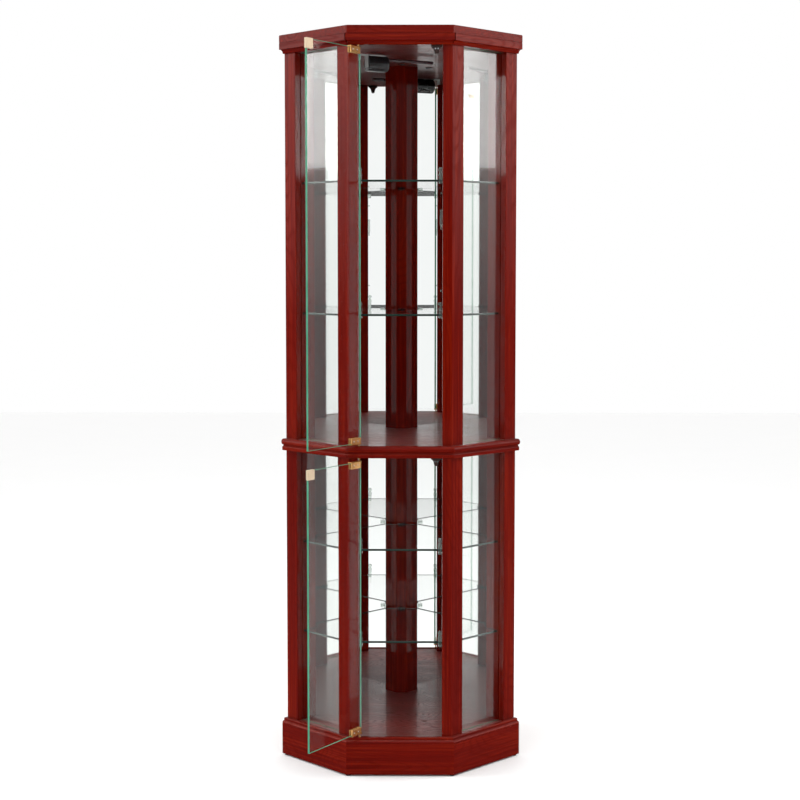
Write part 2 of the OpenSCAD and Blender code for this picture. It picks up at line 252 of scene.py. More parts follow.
def edge_profile(thick: float, radius: float, steps: int) -> Array:
    """A slab's edge as (inset, height) pairs, with a quarter circle at each arris.

    Inset is radius * (1 - cos a) and height is radius * (1 - sin a) from either face, while a
    goes from 90 degrees at the face to 0 at the edge.

    Args:
        thick: the slab's thickness.
        radius: the arris radius.
        steps: straight steps in each quarter.

    Returns:
        A (2 * steps + 2, 2) array from the lower face to the upper.
    """
    a = np.linspace(math.pi / 2, 0, steps + 1)
    low = np.stack([radius * (1 - np.cos(a)), radius * (1 - np.sin(a))], axis=1)
    high = np.stack([low[::-1, 0], thick - low[::-1, 1]], axis=1)
    return np.concatenate([low, high])


def slab(name: str, outline: Array, thick: float, radius: float,
         place: Placer, steps: int = 3) -> Object:
    """A flat slab with eased arrises: its edge profile is carried round its outline.

    Args:
        name: the piece's name.
        outline: (n, 2) corners, anticlockwise seen from the slab's upper side.
        thick: the slab's thickness.
        radius: the arris radius.
        place: turns (m, 3) points (outline x, outline y, height) into row-frame points.
        steps: steps in each arris.

    Returns:
        The object. Its flat faces use material slot 0 and its edge uses slot 1.
    """
    profile = edge_profile(thick, radius, steps)
    rings = inset_rings(np.asarray(outline, float), profile[:, 0])
    m, n, _ = rings.shape
    heights = np.broadcast_to(profile[:, 1][:, None, None], (m, n, 1))
    points = np.concatenate([rings, heights], axis=2).reshape(-1, 3)
    faces = [tuple(f) for f in ring_faces(m, n)]
    caps = [tuple(range(n - 1, -1, -1)), tuple(range((m - 1) * n, m * n))]
    slots = np.concatenate([np.ones(len(faces)), np.zeros(2)])
    return make_object(name, place(points), faces + caps, slots)


def lathe(name: str, profile: Array, origin: Array, axis: Array, count: int) -> Object:
    """A turned piece: each profile point (distance along the axis, radius) sweeps a circle.

    A point is origin + along * axis + radius * (cos t * u + sin t * v), where u and v are
    perpendicular to the axis. The two ends are closed with flat faces.

    Args:
        name: the piece's name.
        profile: (m, 2) points from one end to the other.
        origin: the axis's starting point.
        axis: the axis's direction.
        count: points round each circle.

    Returns:
        The object.
    """
    axis = np.asarray(axis, float) / np.linalg.norm(axis)
    helper = UPWARDS if abs(axis[2]) < 0.9 else np.array([1.0, 0.0, 0.0])
    u = np.cross(axis, helper)
    u /= np.linalg.norm(u)
    v = np.cross(axis, u)
    t = np.linspace(0, 2 * math.pi, count, endpoint=False)
    round_ = np.cos(t)[:, None] * u + np.sin(t)[:, None] * v
    profile = np.asarray(profile, float)
    points = (np.asarray(origin, float) + profile[:, :1, None].transpose(0, 2, 1) * axis
              + profile[:, 1][:, None, None] * round_[None]).reshape(-1, 3)
    m = len(profile)
    faces = [tuple(f) for f in ring_faces(m, count)]
    caps = [tuple(range(count - 1, -1, -1)), tuple(range((m - 1) * count, m * count))]
    thing = make_object(name, points, faces + caps)
    flags = np.concatenate([np.ones(len(faces), bool), np.zeros(2, bool)])
    thing.data.polygons.foreach_set("use_smooth", flags)
    thing.data.set_sharp_from_angle(angle=SHARP_ANGLE)
    return thing


def joined(name: str, parts: list[Object]) -> Object:
    """Joins mesh objects that share their list of materials.

    Args:
        name: the joined piece's name.
        parts: objects at the origin.

    Returns:
        One object.
    """
    with bpy.context.temp_override(active_object=parts[0], selected_editable_objects=parts):
        bpy.ops.object.join()
    parts[0].name = name
    parts[0].data.name = name
    return parts[0]


def rounded(corners: Array, radii: Array | float, steps: int) -> Array:
    """An outline whose corners are replaced with arcs that touch both sides.

    Each arc is the quadratic curve (1-t)^2 a + 2t(1-t) c + t^2 b from a to b, with the corner c
    between them, where a and b lie `radius` along the corner's two sides.

    Args:
        corners: (n, 2) points.
        radii: one distance, or one for each corner.
        steps: steps in each arc.

    Returns:
        An (n * (steps + 1), 2) array.
    """
    c = np.asarray(corners, float)
    r = np.broadcast_to(np.asarray(radii, float), (len(c),))[:, None]
    back = np.roll(c, 1, axis=0) - c
    ahead = np.roll(c, -1, axis=0) - c
    a = c + back / np.linalg.norm(back, axis=1, keepdims=True) * r
    b = c + ahead / np.linalg.norm(ahead, axis=1, keepdims=True) * r
    t = np.linspace(0, 1, steps + 1)[None, :, None]
    curve = (1 - t) ** 2 * a[:, None] + 2 * t * (1 - t) * c[:, None] + t ** 2 * b[:, None]
    return curve.reshape(-1, 2)


# ---- Node groups and finishes ----


class Run(Enum):
    """Which way a piece's grain runs, as the turn (degrees) that brings it onto X."""

    ALONG_X = (0.0, 0.0, 0.0)
    UPRIGHT = (0.0, 90.0, 0.0)
    RIGHT_SIDE = (0.0, 0.0, -45.0)
    LEFT_SIDE = (0.0, 0.0, 45.0)


class NodeTree:
    """A short way to add and link nodes in one tree."""

    def __init__(self, tree: bpy.types.NodeTree) -> None:
        """Keeps the tree.

        Args:
            tree: the tree that new nodes go into.
        """
        self.tree = tree

    def add(self, kind: str, inputs: dict | None = None, **settings) -> Node:
        """Adds a node.

        Args:
            kind: the node's type name.
            inputs: a value or an output socket for each input, by name or number.
            settings: the node's own properties.

        Returns:
            The node.
        """
        made = self.tree.nodes.new(kind)
        for key, value in settings.items():
            setattr(made, key, value)
        for key, value in (inputs or {}).items():
            if isinstance(value, Socket):
                self.tree.links.new(value, made.inputs[key])
            else:
                made.inputs[key].default_value = value
        return made

    def group(self, tree: bpy.types.NodeTree, vector: Socket, **values: float) -> Node:
        """Adds a node group.

        Args:
            tree: the group.
            vector: the place where it is read.
            values: its other inputs.

        Returns:
            The node.
        """
        return self.add("ShaderNodeGroup", {"Vector": vector, **values}, node_tree=tree)

    def feed(self, node: Node, sockets: dict[str, Socket]) -> None:
        """Links outputs to a node's inputs.

        Args:
            node: the node that takes them.
            sockets: the output for each input, by the input's name.
        """
        for key, value in sockets.items():
            self.tree.links.new(value, node.inputs[key])

    def maths(self, operation: str, a: float | Socket, b: float | Socket = 0.0,
              clamp: bool = False) -> Socket:
        """Adds a Math node.

        Args:
            operation: what it works out.
            a: its first value or socket.
            b: its second value or socket.
            clamp: whether the result is held between 0 and 1.

        Returns:
            Its output.
        """
        return self.add("ShaderNodeMath", {0: a, 1: b}, operation=operation,
                        use_clamp=clamp).outputs[0]

    def mix(self, factor: Socket, a: tuple | Socket, b: tuple | Socket) -> Socket:
        """Adds a colour Mix node.

        Args:
            factor: how far from a to b, from 0 to 1.
            a: the colour, with alpha, at 0.
            b: the colour, with alpha, at 1.

        Returns:
            Its output.
        """
        return self.add("ShaderNodeMix", {0: factor, 6: a, 7: b}, data_type="RGBA").outputs[2]

    def span(self, value: Socket, low: float, high: float, to_low: float, to_high: float
             ) -> Socket:
        """Takes a value from one range to another and holds it at the ends.

        Args:
            value: the value.
            low: the start of its range.
            high: the end of its range.
            to_low: what the start becomes.
            to_high: what the end becomes.

        Returns:
            The new value.
        """
        return self.add("ShaderNodeMapRange", {0: value, 1: low, 2: high, 3: to_low, 4: to_high}
                        ).outputs[0]


def rgba(colour: Colour) -> Rgba:
    """Adds full alpha to a colour.

    Args:
        colour: red, green and blue.

    Returns:
        The four values.
    """
    return (*colour, 1.0)


def grey(value: float) -> Rgba:
    """Makes a grey with full alpha.

    Args:
        value: its brightness.

    Returns:
        The four values.
    """
    return rgba((value,) * 3)


def new_group(name: str, inputs: dict[str, tuple[str, float]], outputs: dict[str, str]
              ) -> tuple[bpy.types.NodeTree, NodeTree, Node, Node]:
    """Starts a shader node group.

    Args:
        name: the group's name.
        inputs: each input's socket type and default value.
        outputs: each output's socket type.

    Returns:
        The group, its node maker, its input node and its output node.
    """
    group = bpy.data.node_groups.new(name, "ShaderNodeTree")
    for key, (kind, default) in inputs.items():
        socket = group.interface.new_socket(name=key, in_out="INPUT", socket_type=kind)
        if kind == "NodeSocketFloat":
            socket.default_value = default
    for key, kind in outputs.items():
        group.interface.new_socket(name=key, in_out="OUTPUT", socket_type=kind)
    nodes = NodeTree(group)
    return group, nodes, nodes.add("NodeGroupInput"), nodes.add("NodeGroupOutput")


def stretched_noise(nodes: NodeTree, vector: Socket, along: float, across: float,
                    detail: float, roughness: float = 0.5, distortion: float = 0.0) -> Socket:
    """Noise drawn out along X.

    Args:
        nodes: the tree that it goes into.
        vector: the place where it is read.
        along: features a metre along X.
        across: features a metre along Y and Z.
        detail: how many octaves it has.
        roughness: the finer octaves' share.
        distortion: how far it is warped.

    Returns:
        The noise's value.
    """
    scaled = nodes.add("ShaderNodeVectorMath", {0: vector, 1: (along, across, across)},
                       operation="MULTIPLY").outputs[0]
    return nodes.add("ShaderNodeTexNoise", {"Vector": scaled, "Scale": 1.0, "Detail": detail,
                     "Roughness": roughness, "Distortion": distortion}).outputs[0]


def wood_figure_group() -> bpy.types.NodeTree:
    """Open-grained wood whose grain runs along X.

    Growth lines are the sine of a slow, drawn-out noise times a ring count, so that they close
    into long arches; streaks and pores are finer noise drawn out further.

    Returns:
        A group with outputs Tone, Lines and Height, each from 0 to 1.
    """
    group, n, source, sink = new_group(
        "wood_figure",
        {"Vector": ("NodeSocketVector", 0), "Rings": ("NodeSocketFloat", 30),
         "Spread": ("NodeSocketFloat", 1)},
        {"Tone": "NodeSocketFloat", "Lines": "NodeSocketFloat", "Height": "NodeSocketFloat"})
    vector = n.add("ShaderNodeVectorMath", {0: source.outputs["Vector"],
                   "Scale": source.outputs["Spread"]}, operation="SCALE").outputs[0]
    slow = stretched_noise(n, vector, 1.6, 9.0, 1.5, 0.45, 0.25)
    ripple = stretched_noise(n, vector, 14.0, 60.0, 2.0)
    phase = n.maths("ADD", n.maths("MULTIPLY", slow, source.outputs["Rings"]),
                    n.maths("MULTIPLY", ripple, 1.1))
    wave = n.maths("SINE", n.maths("MULTIPLY", phase, 2 * math.pi))
    rings = n.span(wave, 0.25, 1.0, 0.0, 1.0)
    streaks = stretched_noise(n, vector, 3.0, 170.0, 3.0, 0.6)
    pores = n.span(stretched_noise(n, vector, 70.0, 900.0, 1.0), 0.56, 0.68, 0.0, 1.0)
    broken = n.maths("MULTIPLY", rings, n.span(streaks, 0.30, 0.62, 0.25, 1.0))
    tone = n.maths("ADD", n.maths("MULTIPLY", streaks, 0.75), n.maths("MULTIPLY", slow, 0.35))
    lines = n.maths("ADD", broken, n.maths("MULTIPLY", pores, 0.35), clamp=True)
    height = n.maths("SUBTRACT", 1.0, lines)
    n.feed(sink, {"Tone": tone, "Lines": lines, "Height": height})
    return group


def handling_group() -> bpy.types.NodeTree:
    """Uneven gloss from wiping and handling.

    Returns:
        A group whose output Haze, from 0 to 1, is large soft noise with fine noise on it.
    """
    group, n, source, sink = new_group(
        "handling", {"Vector": ("NodeSocketVector", 0), "Scale": ("NodeSocketFloat", 6)},
        {"Haze": "NodeSocketFloat"})
    soft = n.add("ShaderNodeTexNoise", {"Vector": source.outputs["Vector"],
                 "Scale": source.outputs["Scale"], "Detail": 4.0, "Roughness": 0.6}).outputs[0]
    n.feed(sink, {"Haze": n.span(soft, 0.35, 0.75, 0.0, 1.0)})
    return group


def dust_group() -> bpy.types.NodeTree:
    """Dust that settles on faces that look up.

    Returns:
        A group whose output Dust is the normal's Z, above a threshold, times fine noise.
    """
    group, n, source, sink = new_group(
        "settled_dust", {"Vector": ("NodeSocketVector", 0), "Amount": ("NodeSocketFloat", 0.1)},
        {"Dust": "NodeSocketFloat"})
    normal = n.add("ShaderNodeNewGeometry").outputs["Normal"]
    up = n.add("ShaderNodeSeparateXYZ", {0: normal}).outputs[2]
    facing = n.span(up, 0.6, 1.0, 0.0, 1.0)
    speck = n.add("ShaderNodeTexNoise", {"Vector": source.outputs["Vector"], "Scale": 90.0,
                  "Detail": 3.0}).outputs[0]
    dust = n.maths("MULTIPLY", n.maths("MULTIPLY", facing, n.span(speck, 0.3, 0.7, 0.2, 1.0)),
                   source.outputs["Amount"])
    n.feed(sink, {"Dust": dust})
    return group


class Effects:
    """The node groups that several finishes share, each built once."""

    def __init__(self) -> None:
        """Builds the groups."""
        self.wood = wood_figure_group()
        self.handling = handling_group()
        self.dust = dust_group()


def start_material(name: str) -> tuple[Material, NodeTree, Node, Socket]:
    """Starts a material with a Principled shader.

    Args:
        name: the material's name.

    Returns:
        The material, its node maker, the shader node and the Object coordinate socket.
    """
    material = bpy.data.materials.new(name)
    material.use_nodes = True
    nodes = NodeTree(material.node_tree)
    shader = material.node_tree.nodes["Principled BSDF"]
    place = nodes.add("ShaderNodeTexCoord").outputs["Object"]
    return material, nodes, shader, place


def set_sockets(shader: Node, **values) -> None:
    """Sets a shader's own sockets.

    Args:
        shader: the shader node.
        values: a value for each socket, with an underscore for each space in its name.
    """
    for key, value in values.items():
        shader.inputs[key.replace("_", " ")].default_value = value


@dataclass(frozen=True)
class LacqueredWood:
    """Red-brown lacquer over open-grained wood."""

    name: str
    dark: Colour = (0.078, 0.0016, 0.0008)
    middle: Colour = (0.128, 0.0038, 0.0012)
    light: Colour = (0.22, 0.0130, 0.0028)
    line: Colour = (0.05, 0.0025, 0.0015)
    line_strength: float = 0.30
    rings: float = 40.0
    spread: float = 1.0
    coat: float = 0.55
    specular: float = 0.0
    coat_loss: float = 0.5
    relief: float = 0.15 * MM
    dust_amount: float = 0.05
    dust_colour: Colour = (0.35, 0.30, 0.26)

    def build(self, effects: Effects, run: Run, shift: Colour) -> Material:
        """Makes the material for one piece.

        Args:
            effects: the shared node groups.
            run: which way the grain runs.
            shift: where in the wood's figure the piece is cut.

        Returns:
            The material.
        """
        material, n, shader, place = start_material(self.name)
        turn = tuple(math.radians(a) for a in run.value)
        vector = n.add("ShaderNodeMapping", {"Vector": place, "Rotation": turn,
                       "Location": shift}).outputs[0]
        figure = n.group(effects.wood, vector, Rings=self.rings, Spread=self.spread)
        tone, lines, height = (figure.outputs[k] for k in ("Tone", "Lines", "Height"))
        ramp = n.add("ShaderNodeValToRGB", {0: tone})
        first, last = ramp.color_ramp.elements
        first.position, first.color = 0.34, rgba(self.dark)
        last.position, last.color = 0.80, rgba(self.light)
        ramp.color_ramp.elements.new(0.55).color = rgba(self.middle)
        stained = n.mix(n.maths("MULTIPLY", lines, self.line_strength), ramp.outputs[0],
                        rgba(self.line))
        dust = n.group(effects.dust, place, Amount=self.dust_amount)
        colour = n.mix(dust.outputs["Dust"], stained, rgba(self.dust_colour))
        haze = n.group(effects.handling, place)
        rough = n.maths("ADD", n.maths("MULTIPLY", lines, 0.18),
                        n.span(haze.outputs["Haze"], 0.0, 1.0, 0.30, 0.40))
        coat = n.span(lines, 0.0, 1.0, self.coat, self.coat * (1 - self.coat_loss))
        bump = n.add("ShaderNodeBump", {"Strength": 0.6, "Distance": self.relief,
                     "Height": height}).outputs[0]
        n.feed(shader, {"Base Color": colour, "Roughness": rough, "Coat Weight": coat,
                        "Normal": bump})
        set_sockets(shader, Coat_Roughness=0.06, Coat_IOR=1.4, Specular_IOR_Level=self.specular)
        return material


@dataclass(frozen=True)
class PlainWood:
    """Unlacquered board: stained softwood, or pressed hardboard."""

    name: str
    low: Colour
    high: Colour
    fleck: float = 60.0
    relief: float = 0.2 * MM

    def build(self, effects: Effects, run: Run = Run.ALONG_X) -> Material:
        """Makes the material.

        Args:
            effects: the shared node groups.
            run: which way the fibres run.

        Returns:
            The material.
        """
        material, n, shader, place = start_material(self.name)
        turn = tuple(math.radians(a) for a in run.value)
        vector = n.add("ShaderNodeMapping", {"Vector": place, "Rotation": turn}).outputs[0]
        fibre = stretched_noise(n, vector, self.fleck / 6, self.fleck * 8, 4.0, 0.7)
        haze = n.group(effects.handling, place)
        blend = n.maths("ADD", n.maths("MULTIPLY", fibre, 0.8),
                        n.maths("MULTIPLY", haze.outputs["Haze"], 0.2))
        colour = n.mix(n.span(blend, 0.3, 0.75, 0.0, 1.0), rgba(self.low), rgba(self.high))
        bump = n.add("ShaderNodeBump", {"Strength": 0.5, "Distance": self.relief,
                     "Height": fibre}).outputs[0]
        rough = n.span(fibre, 0.0, 1.0, 0.55, 0.8)
        n.feed(shader, {"Base Color": colour, "Roughness": rough, "Normal": bump})
        return material


@dataclass(frozen=True)
class ClearGlass:
    """Clear float glass. Rays from lamps pass straight through it."""

    name: str
    tint: Colour = (0.985, 0.995, 0.988)
    roughness: float = 0.03
    smear: float = 0.008
    ior: float = 1.5
    shade: Colour = (0.95, 0.97, 0.955)

    def build(self, effects: Effects) -> Material:
        """Makes the material.

        Args:
            effects: the shared node groups.

        Returns:
            The material.
        """
        material, n, shader, place = start_material(self.name)
        haze = n.group(effects.handling, place)
        n.feed(shader, {"Roughness": n.span(haze.outputs["Haze"], 0.2, 1.0, self.roughness,
                                            self.roughness + self.smear)})
        set_sockets(shader, Base_Color=rgba(self.tint), Transmission_Weight=1.0, IOR=self.ior)
        clear = n.add("ShaderNodeBsdfTransparent", {0: rgba(self.shade)})
        path = n.add("ShaderNodeLightPath")
        mix = n.add("ShaderNodeMixShader", {0: path.outputs["Is Shadow Ray"],
                    1: shader.outputs[0], 2: clear.outputs[0]})
        n.feed(n.tree.nodes["Material Output"], {"Surface": mix.outputs[0]})
        return material


@dataclass(frozen=True)
class Coated:
    """A metal, mirror or plastic with slightly uneven gloss and fine marks."""

    name: str
    colour: Colour
    worn: Colour
    metallic: float = 0.0
    roughness: tuple[float, float] = (0.3, 0.4)
    coat: float = 0.0
    mark_scale: float = 260.0
    relief: float = 0.02 * MM
    haze_scale: float = 20.0

    def build(self, effects: Effects) -> Material:
        """Makes the material.

        Args:
            effects: the shared node groups.

        Returns:
            The material.
        """
        material, n, shader, place = start_material(self.name)
        haze = n.group(effects.handling, place, Scale=self.haze_scale)
        marks = n.add("ShaderNodeTexNoise", {"Vector": place, "Scale": self.mark_scale,
                      "Detail": 3.0}).outputs[0]
        blend = n.maths("MULTIPLY", haze.outputs["Haze"], n.span(marks, 0.35, 0.7, 0.3, 1.0))
        n.feed(shader, {"Base Color": n.mix(blend, rgba(self.colour), rgba(self.worn))})
        if self.roughness[0] < self.roughness[1]:
            n.feed(shader, {"Roughness": n.span(blend, 0.0, 1.0, *self.roughness)})
        else:
            set_sockets(shader, Roughness=self.roughness[0])
        if self.relief:
            bump = n.add("ShaderNodeBump", {"Strength": 0.4, "Distance": self.relief,
                         "Height": marks}).outputs[0]
            n.feed(shader, {"Normal": bump})
        set_sockets(shader, Metallic=self.metallic, Coat_Weight=self.coat)
        return material


CHERRY = LacqueredWood("cherry_lacquer")
VENEER = LacqueredWood("panel_veneer", rings=70.0, line_strength=0.85, coat=0.28,
                       coat_loss=0.95, specular=0.7, relief=1.1 * MM)
RAIL_WOOD = PlainWood("rail_wood", (0.13, 0.035, 0.02), (0.26, 0.09, 0.05), 30.0)
HARDBOARD = PlainWood("hardboard", (0.16, 0.09, 0.05), (0.30, 0.19, 0.11), 400.0)
GLASS = ClearGlass("clear_glass")
DOOR_EDGE = Coated("green_glass_edge", (0.055, 0.27, 0.16), (0.12, 0.40, 0.27), 0.0,
                   (0.12, 0.25), 0.5)
DARK_EDGE = Coated("dark_glass_edge", (0.008, 0.022, 0.016), (0.012, 0.035, 0.025), 0.0,
                   (0.12, 0.25), 0.5)
THIN_GLASS = ClearGlass("thin_clear_glass", ior=1.16)
CLIP_PLASTIC = ClearGlass("clip_plastic", (0.62, 0.68, 0.64), 0.12, shade=(0.6, 0.65, 0.6))
MIRROR = Coated("mirror", (0.955, 0.965, 0.96), (0.94, 0.955, 0.95), 1.0, (0.0, 0.0), 0.0,
                260.0, 0.0)
BRASS = Coated("brass", (0.86, 0.47, 0.17), (0.70, 0.34, 0.11), 0.85, (0.16, 0.32))
STEEL = Coated("bright_steel", (0.78, 0.79, 0.80), (0.60, 0.61, 0.62), 1.0, (0.15, 0.30))
PALE_BRASS = Coated("pale_brass", (0.72, 0.58, 0.42), (0.62, 0.44, 0.27), 0.2, (0.28, 0.42))
BROWN_PLASTIC = Coated("brown_plastic", (0.030, 0.010, 0.007), (0.05, 0.018, 0.012), 0.0,
                       (0.45, 0.60))
BLACK_PLASTIC = Coated("black_plastic", (0.012, 0.013, 0.014), (0.025, 0.026, 0.028), 0.0,
                       (0.22, 0.36), 0.4)
LAMP_DARK = Coated("lamp_tube_dark", (0.040, 0.012, 0.016), (0.07, 0.02, 0.028), 0.0,
                   (0.16, 0.26), 0.2)
GREY_PAINT = Coated("lamp_bracket_metal", (0.50, 0.51, 0.50), (0.42, 0.43, 0.42), 0.0,
                    (0.35, 0.5))


def dress(thing: Object, *materials: Material) -> None:
    """Gives an object its materials in place of any it has, and keeps its faces' slots.

    Args:
        thing: the object.
        materials: its finishes, in slot order.
    """
    polygons = thing.data.polygons
    slots = np.zeros(len(polygons), dtype=np.int32)
    polygons.foreach_get("material_index", slots)
    thing.data.materials.clear()
    for material in materials:
        thing.data.materials.append(material)
    polygons.foreach_set("material_index", np.minimum(slots, len(materials) - 1))


def paint(node: str, material: Material) -> None:
    """Puts a material in every slot of a CAD node, whose mesh stays as it is.

    Args:
        node: the CAD node's name.
        material: its finish.
    """
    slots = frame["nodes"][node].data.materials
    if not slots:
        slots.append(material)
    for i in range(len(slots)):
        slots[i] = material
    LOG.info("dressed %s", node)


def settle(thing: Object, body: str, slot: str, node: str, *materials: Material) -> Object:
    """Dresses a piece and makes it ride on a body and stand for a CAD node.

    Args:
        thing: the piece.
        body: the CAD body that it moves with.
        slot: the record's material slot; not used.
        node: the CAD node that it replaces.
        materials: its finishes, in slot order.

    Returns:
        The piece.
    """
    dress(thing, *materials)
    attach(thing, body)
    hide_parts(node)
    LOG.info("piece %s on %s", thing.name, body)
    return thing


# ---- Sub-assemblies ----


@dataclass
class Joinery:
    """Posts, boards, mouldings, panels and rails: CAD nodes with their own cut of the figure.

    Each piece is cut `step` further into the wood than the one before.
    """

    effects: Effects
    step: Point = (0.73, 0.31, 0.47)

    def run_of(self, node: str) -> Run:
        """Tells from a node's name which way its grain runs.

        Args:
            node: the CAD node's name.

        Returns:
            The direction.
        """
        if node.endswith("post"):
            return Run.UPRIGHT
        if node in ("base_left_board", "mid_moulding_left", "crown_left"):
            return Run.LEFT_SIDE
        if node in ("base_right_board", "mid_moulding_right", "crown_right"):
            return Run.RIGHT_SIDE
        return Run.ALONG_X

    def dress_all(self) -> None:
        """Gives every wooden node a material."""
        slots = {s["node"]: s["material_slot"] for s in frame["record"]["subparts"]}
        finishes = {"cherry_lacquer": CHERRY, "panel_veneer": VENEER}
        count = 0
        for node in sorted(slots):
            if slots[node] in finishes:
                count += 1
                shift = tuple(count * s for s in self.step)
                finish = finishes[slots[node]]
                paint(node, finish.build(self.effects, self.run_of(node), shift))
        rail = RAIL_WOOD.build(self.effects)
        back = HARDBOARD.build(self.effects, Run.UPRIGHT)
        for node in sorted(slots):
            if slots[node] == "rail_wood":
                paint(node, rail)
            elif slots[node] == "hardboard":
                paint(node, back)


@dataclass
class Glazing:
    """The glazed sides and the mirrors."""

    effects: Effects
    glass: Material
    edge: Material
    arris: float = 0.6 * MM

    def pane(self, node: str, local: LocalFrame, body: str) -> Object:
        """An upright pane with polished arrises, in place of a CAD node.

        Args:
            node: the CAD node that it stands for.
            local: a frame whose x runs along the pane and y through it.
            body: the body that it rides on.

        Returns:
            The pane.
        """
        low, high = local.box(node)
        thing = slab(node + "_pane", rectangle(low, high, 0, 2), high[1] - low[1], self.arris,
                     local.standing(high[1]))
        return settle(thing, body, "clear_glass", node, self.glass, self.edge)

    def build(self) -> None:
        """Makes the side panes and dresses the mirrors."""
        for tier in ("lower", "upper"):
            self.pane(f"{tier}_right_side_glass", LocalFrame(angle=45.0), "cabinet")
            self.pane(f"{tier}_left_side_glass", LocalFrame(angle=-45.0), "cabinet")
        silver = MIRROR.build(self.effects)
        for tier in ("lower", "upper"):
            for hand in ("left", "right"):
                paint(f"{tier}_{hand}_mirror", silver)
        LOG.info("glazing done")


@dataclass
class Shelving:
    """Four glass shelves, each on five clips."""

    effects: Effects
    glass: Material
    edge: Material
    arris: float = 0.8 * MM
    centre: tuple[float, float] = (0.0, 0.02)

    def shelf(self, node: str) -> Object:
        """One shelf. Its outline is the CAD shelf's corners, in order of their bearing.

        Args:
            node: the CAD shelf that it stands for.

        Returns:
            The shelf.
        """
        points = node_points(node)
        low, high = points[:, 2].min(), points[:, 2].max()
        corners = np.unique(np.round(points[points[:, 2] > (low + high) / 2][:, :2], 6), axis=0)
        away = corners - np.array(self.centre)
        outline = corners[np.argsort(np.arctan2(away[:, 1], away[:, 0]))]
        thing = slab(node + "_glass", outline, high - low, self.arris, LocalFrame().lying(low))
        return settle(thing, "cabinet", "clear_glass", node, self.glass, self.edge)

    def build(self) -> None:
        """Makes the shelves and dresses their clips."""
        for i in (1, 2, 3, 4):
            self.shelf(f"shelf_{i}")
        clips = CLIP_PLASTIC.build(self.effects)
        for node in ("lower_shelf_clips", "upper_shelf_clips"):
            paint(node, clips)
        LOG.info("shelves done")


# A set screw's head: depth from its tip, and share of its radius.
SCREW_HEAD = np.array([[0.9 * MM, 1.0], [0.35 * MM, 0.9], [0.0, 0.62], [0.0, 0.45],
                       [0.5 * MM, 0.40]])


